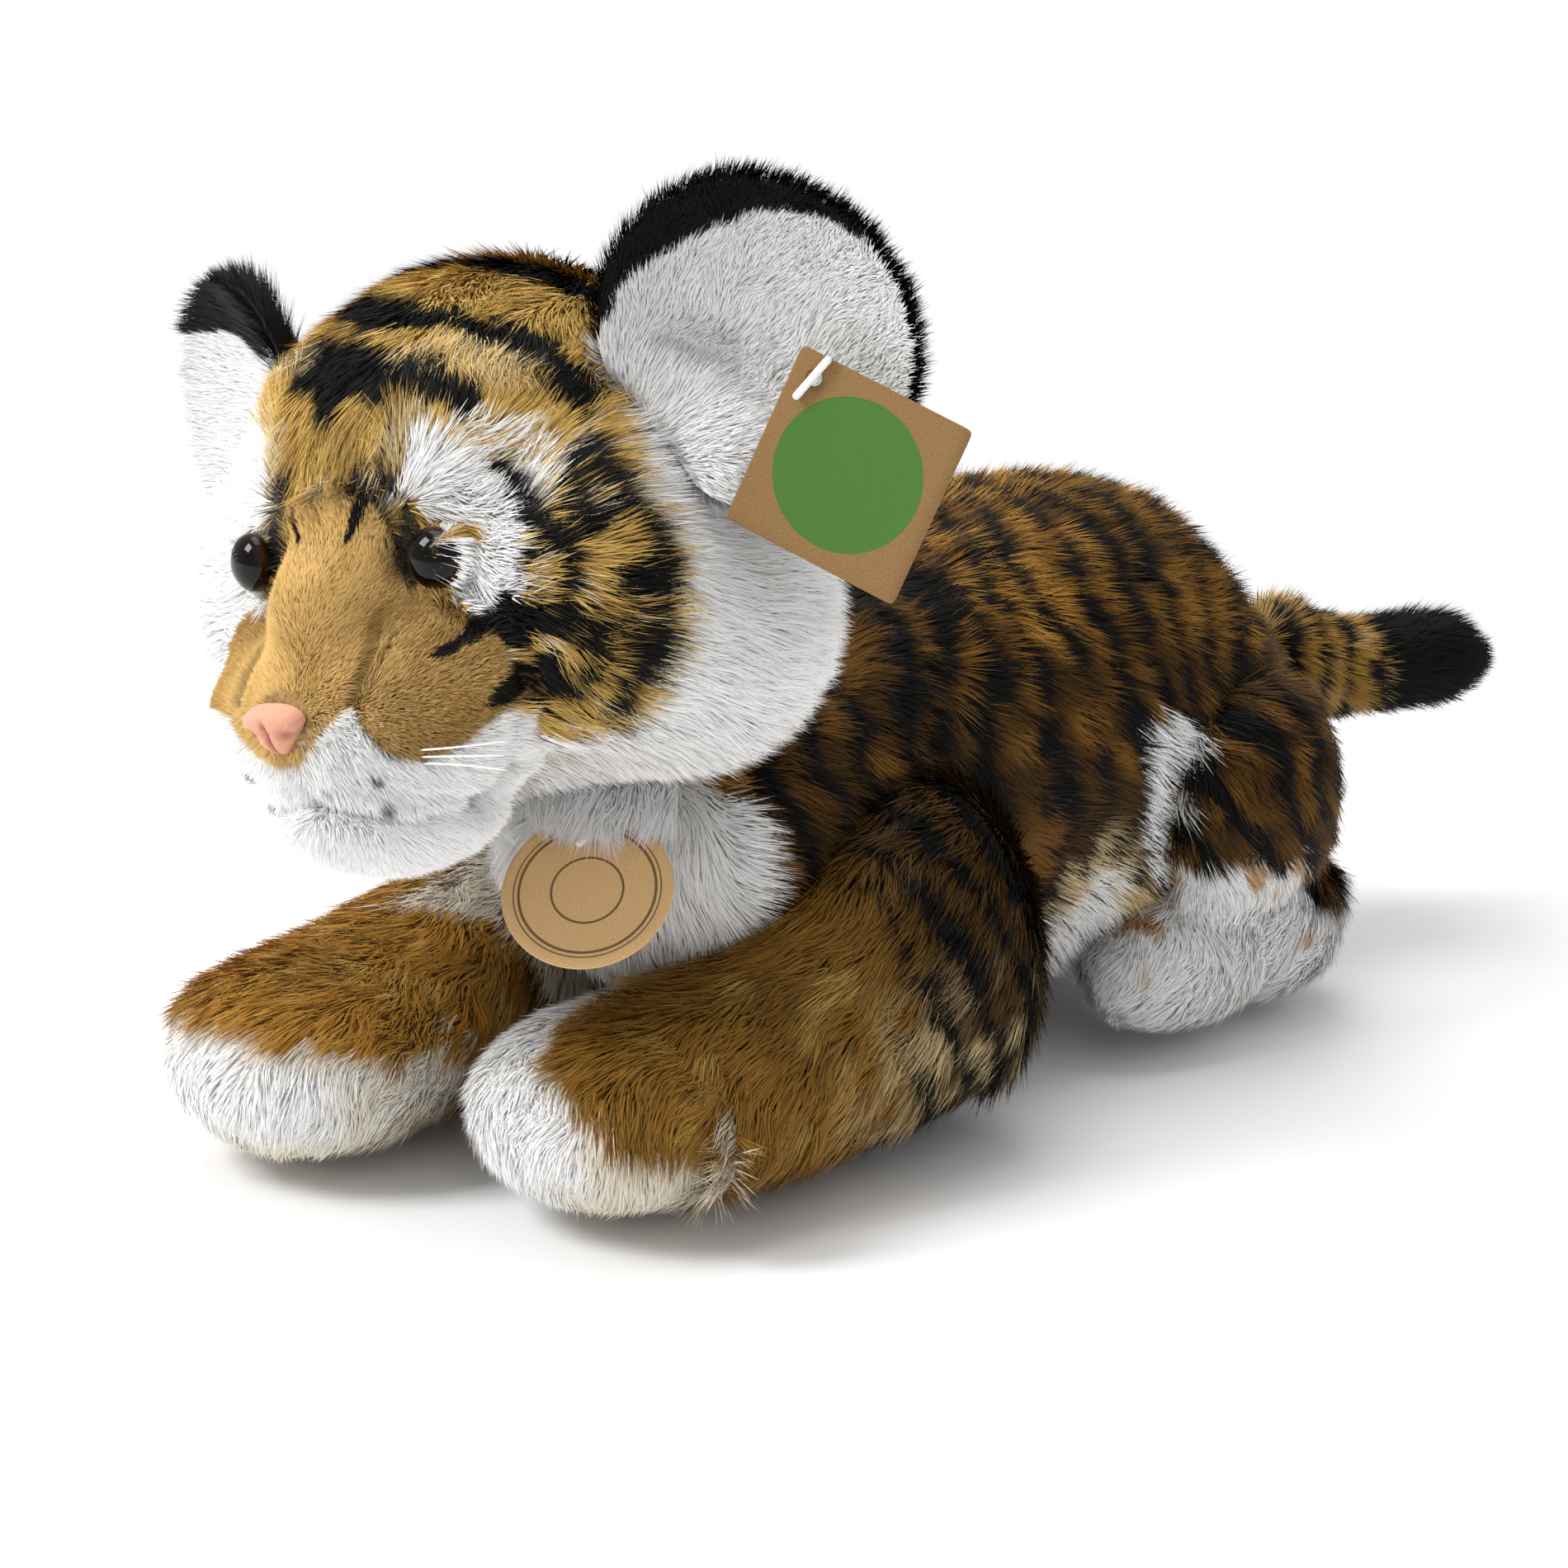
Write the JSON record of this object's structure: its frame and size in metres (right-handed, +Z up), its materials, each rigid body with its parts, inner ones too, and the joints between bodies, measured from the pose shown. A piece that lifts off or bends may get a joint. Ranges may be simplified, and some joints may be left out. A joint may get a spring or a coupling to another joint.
{
  "type": "plush tiger",
  "caption": "Soft plush tiger cub lying on its belly, with a turned head, cupped ears, glossy eyes, soft legs and tail, and two card tags.",
  "frame": {"origin": "on the floor, under the middle of the toy's bounding box", "axes": "the toy faces -Y with its tail towards +Y; +X is the toy's own left side; +Z is up"},
  "size_m": [0.2582, 0.44, 0.2656],
  "materials": {
    "striped_pile": "long brown-gold pile with short black stripes",
    "golden_pile": "golden pile with black stripes",
    "white_pile": "white pile",
    "cream_pile": "cream pile",
    "black_pile": "black pile",
    "tan_pile": "short tan pile",
    "fibre": "loose polyester fibre",
    "bag_cloth": "plain woven cloth",
    "nose_flock": "flocked, peach pink",
    "eye_plastic": "glossy black",
    "washer_plastic": "satin",
    "nylon": "satin, slightly translucent",
    "card": "matt kraft card"
  },
  "bodies": {
    "trunk": {"chest_bib": "white_pile", "belly_panel": "cream_pile", "back_panel": "striped_pile", "belly_pellet_bag": "bag_cloth", "trunk_filling": "fibre", "chest_tag_pin": "nylon"},
    "head": {"chin_panel": "white_pile", "ruff_left": "white_pile", "ruff_right": "white_pile", "lip_left": "white_pile", "lip_right": "white_pile", "muzzle_panel": "tan_pile", "crown_panel": "golden_pile", "head_filling": "fibre", "eye_left_washer": "washer_plastic", "eye_right_washer": "washer_plastic", "nose_washer": "washer_plastic", "nose": "nose_flock", "eye_left": "eye_plastic", "eye_right": "eye_plastic", "whisker_left_1": "nylon", "whisker_left_2": "nylon", "whisker_left_3": "nylon", "whisker_right_1": "nylon", "whisker_right_2": "nylon", "whisker_right_3": "nylon"},
    "ear_left": {"ear_left_front": "white_pile", "ear_left_back": "black_pile", "hang_tag_pin": "nylon"},
    "ear_right": {"ear_right_front": "white_pile", "ear_right_back": "black_pile"},
    "foreleg_left": {"foreleg_left_toe_cap": "white_pile", "foreleg_left_sleeve": "striped_pile", "foreleg_left_filling": "fibre"},
    "foreleg_right": {"foreleg_right_toe_cap": "white_pile", "foreleg_right_sleeve": "striped_pile", "foreleg_right_filling": "fibre"},
    "hindleg_left": {"hindleg_left_toe_cap": "white_pile", "hindleg_left_sleeve": "striped_pile", "hindleg_left_filling": "fibre"},
    "hindleg_right": {"hindleg_right_toe_cap": "white_pile", "hindleg_right_sleeve": "striped_pile", "hindleg_right_filling": "fibre"},
    "tail": {"tail_tip": "black_pile", "tail_sleeve": "striped_pile", "tail_filling": "fibre"},
    "hang_tag": {"hang_tag": "card"},
    "chest_tag": {"chest_tag": "card"}
  },
  "joints": [
    {"name": "head_turn", "type": "hinge", "parent": "trunk", "child": "head", "pos_m": [0.00216, -0.10629, 0.16], "axis": [0, 0, 1], "range_deg": [-12, 12], "stiffness_Nm_per_rad": 0.3},
    {"name": "ear_left_fold", "type": "hinge", "parent": "head", "child": "ear_left", "pos_m": [0.05278, -0.11464, 0.20566], "axis": [0.5517, 0.3677, -0.7486], "range_deg": [-8, 8], "stiffness_Nm_per_rad": 0.15},
    {"name": "ear_right_fold", "type": "hinge", "parent": "head", "child": "ear_right", "pos_m": [-0.06078, -0.13849, 0.17814], "axis": [0.2222, -0.1292, 0.9664], "range_deg": [-8, 8], "stiffness_Nm_per_rad": 0.15},
    {"name": "foreleg_left_splay", "type": "hinge", "parent": "trunk", "child": "foreleg_left", "pos_m": [0.03616, -0.01229, 0.055], "axis": [0, 0, 1], "range_deg": [0, 12], "stiffness_Nm_per_rad": 0.2},
    {"name": "foreleg_right_splay", "type": "hinge", "parent": "trunk", "child": "foreleg_right", "pos_m": [-0.03184, -0.01229, 0.055], "axis": [0, 0, -1], "range_deg": [0, 12], "stiffness_Nm_per_rad": 0.2},
    {"name": "hindleg_left_splay", "type": "hinge", "parent": "trunk", "child": "hindleg_left", "pos_m": [0.03816, 0.11371, 0.06], "axis": [0, 0, 1], "range_deg": [0, 10], "stiffness_Nm_per_rad": 0.2},
    {"name": "hindleg_right_splay", "type": "hinge", "parent": "trunk", "child": "hindleg_right", "pos_m": [-0.03384, 0.11371, 0.06], "axis": [0, 0, -1], "range_deg": [0, 10], "stiffness_Nm_per_rad": 0.2},
    {"name": "tail_wag", "type": "hinge", "parent": "trunk", "child": "tail", "pos_m": [0.00216, 0.13971, 0.094], "axis": [0, 0, 1], "range_deg": [-20, 20], "stiffness_Nm_per_rad": 0.05},
    {"name": "hang_tag_swing", "type": "hinge", "parent": "ear_left", "child": "hang_tag", "pos_m": [0.09616, -0.11029, 0.219], "axis": [0.527, -0.8434, 0.1045], "range_deg": [-12, 12]},
    {"name": "chest_tag_swing", "type": "hinge", "parent": "trunk", "child": "chest_tag", "pos_m": [0.03716, -0.13029, 0.099], "axis": [0.4465, -0.5321, 0.7193], "range_deg": [-8, 8]}
  ]
}
